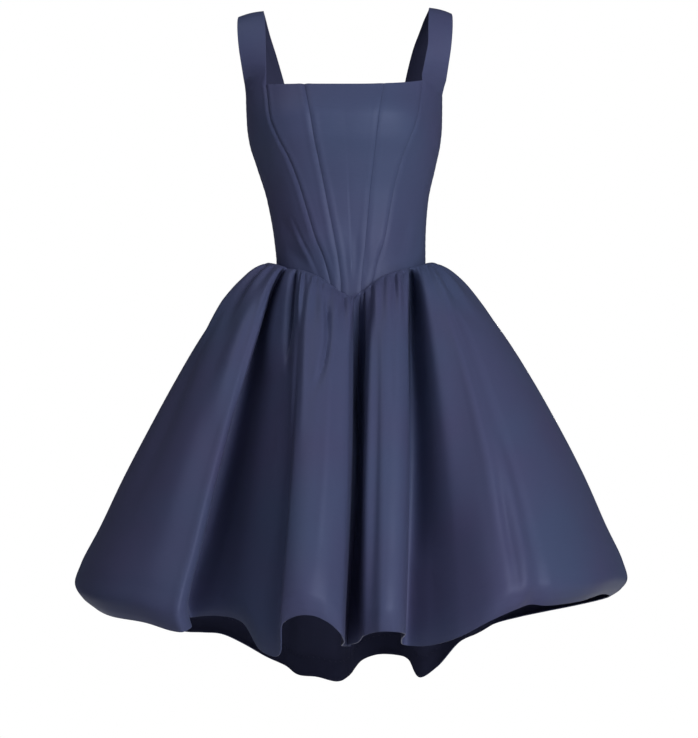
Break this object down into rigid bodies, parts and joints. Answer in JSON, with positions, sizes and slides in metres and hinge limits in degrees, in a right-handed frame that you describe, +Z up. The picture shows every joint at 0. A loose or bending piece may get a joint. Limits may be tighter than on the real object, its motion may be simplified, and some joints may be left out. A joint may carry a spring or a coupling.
{
  "type": "a-line dress with a pointed waist and a full gathered skirt",
  "caption": "Sleeveless satin dress with wide straps, a square neck, a seamed bodice and a full gathered skirt, held up on the shoulders.",
  "frame": {"origin": "midway between the two strap crowns, at the height where a wearer's shoulders carry them", "axes": "+Z up, -Y out of the front of the dress, +X towards the wearer's left side"},
  "size_m": [0.814, 0.7021, 0.9907],
  "materials": {
    "satin": "smooth navy slate satin with a soft sheen",
    "zip_metal": "navy enamelled metal"
  },
  "bodies": {
    "dress": {"front_centre": "satin", "front_left": "satin", "front_right": "satin", "side_front_left": "satin", "side_front_right": "satin", "side_back_left": "satin", "side_back_right": "satin", "back_left": "satin", "back_right": "satin", "skirt_front": "satin", "skirt_back_left": "satin", "skirt_back_right": "satin", "zip_slider": "zip_metal"},
    "zip_pull": {"zip_pull": "zip_metal"}
  },
  "joints": [
    {"name": "zip_pull_swing", "type": "hinge", "parent": "dress", "child": "zip_pull", "pos_m": [-0.01026, 0.09314, -0.1235], "axis": [1, 0, 0], "range_deg": [0, 150]}
  ]
}
